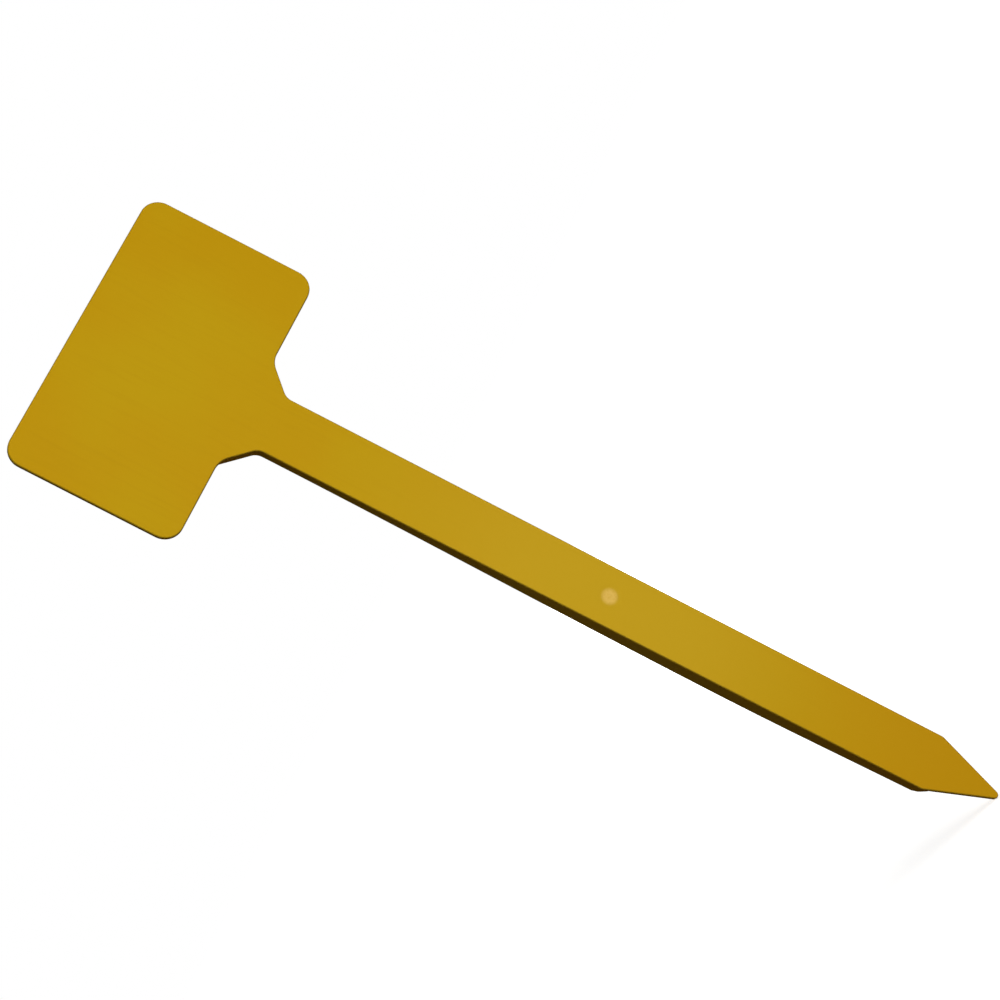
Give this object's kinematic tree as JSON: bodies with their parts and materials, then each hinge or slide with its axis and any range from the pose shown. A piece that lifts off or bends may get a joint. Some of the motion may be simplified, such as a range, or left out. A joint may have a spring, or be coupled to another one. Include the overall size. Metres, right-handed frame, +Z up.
{
  "type": "plant label stake",
  "caption": "T-shaped plant label stake in yellow plastic: a blank writing plate on a flared neck, a long stem stiffened by side flanges at the back, and a flat point for the soil.",
  "frame": {"origin": "on the stem's centre line and front face, level with the soil when the stake is planted", "axes": "+Z up along the stem from the point to the label plate, +Y back from the writing face, +X to the right of that face as it is read"},
  "size_m": [0.0776, 0.0062, 0.25],
  "materials": {
    "yellow_plastic": "moulded polypropylene, satin, mustard yellow",
    "gate_scar": "torn gate, stress whitened, pale yellow"
  },
  "bodies": {
    "root": {"label_plate": "yellow_plastic", "stem_web": "yellow_plastic", "left_flange": "yellow_plastic", "right_flange": "yellow_plastic", "point": "yellow_plastic", "gate_mark": "gate_scar"}
  },
  "joints": []
}
